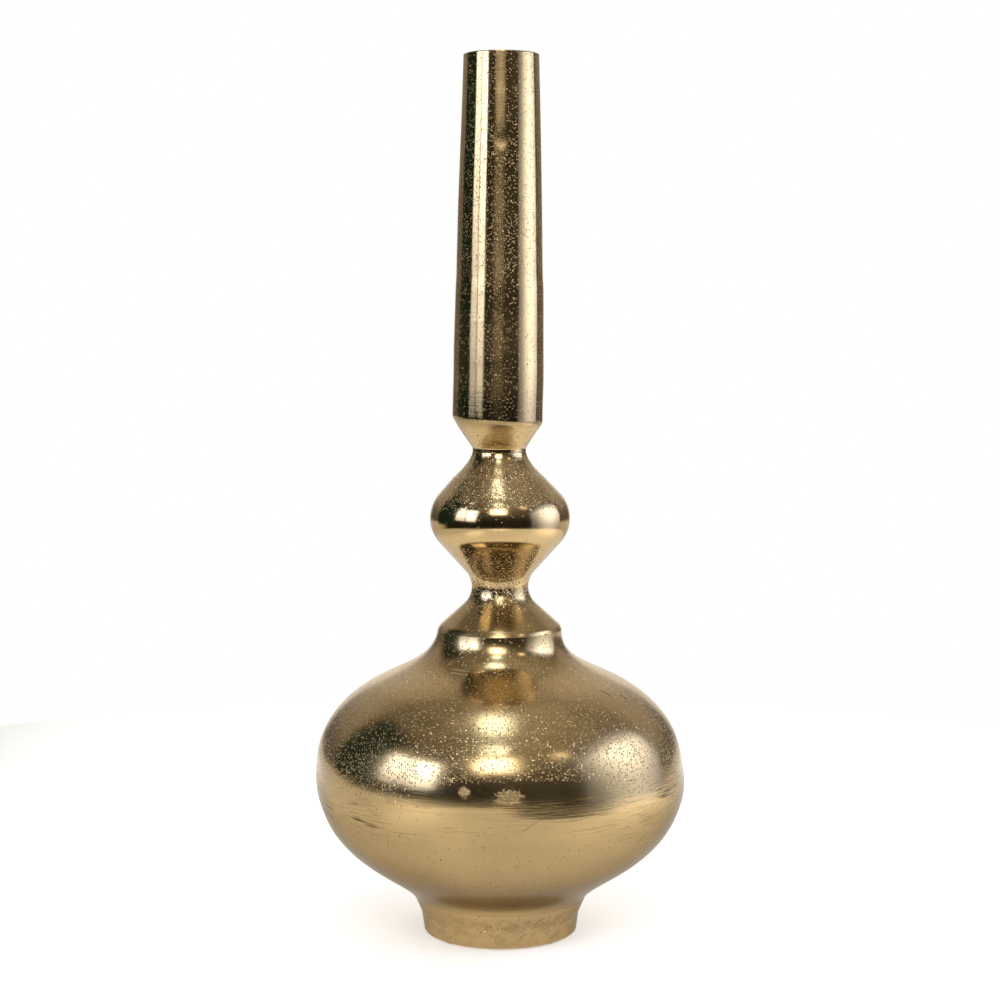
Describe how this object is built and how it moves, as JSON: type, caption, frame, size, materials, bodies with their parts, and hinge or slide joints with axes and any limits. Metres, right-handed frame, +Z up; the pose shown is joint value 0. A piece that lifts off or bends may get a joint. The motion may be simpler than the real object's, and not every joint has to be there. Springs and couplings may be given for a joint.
{
  "type": "vase",
  "caption": "Tall gold-finished metal vase with a round welded body on a low foot, a double-cone baluster and a slim tapered neck for flower stems.",
  "frame": {"origin": "on the vase's axis, at the surface that the felt pads stand on", "axes": "+Z up along the vase's axis, from the foot to the mouth; -Y towards the camera of the picture"},
  "size_m": [0.219, 0.219, 0.5212],
  "materials": {
    "gold_casting": "polished gold-tone finish on a pitted casting",
    "gold_weld": "ground and brushed weld in the same gold tone",
    "brass_fitting": "turned",
    "steel_fitting": "zinc plated",
    "gasket_rubber": "matte",
    "felt": "felt"
  },
  "bodies": {
    "root": {"neck_tube": "gold_casting", "baluster": "gold_casting", "shoulder_shell": "gold_casting", "lower_bowl": "gold_casting", "foot_ring": "gold_casting", "seam_weld": "gold_weld", "neck_nipple": "brass_fitting", "neck_lock_nut": "steel_fitting", "neck_washer": "steel_fitting", "neck_gasket": "gasket_rubber", "collar_gasket": "gasket_rubber", "felt_pad_1": "felt", "felt_pad_2": "felt", "felt_pad_3": "felt", "felt_pad_4": "felt"}
  },
  "joints": []
}
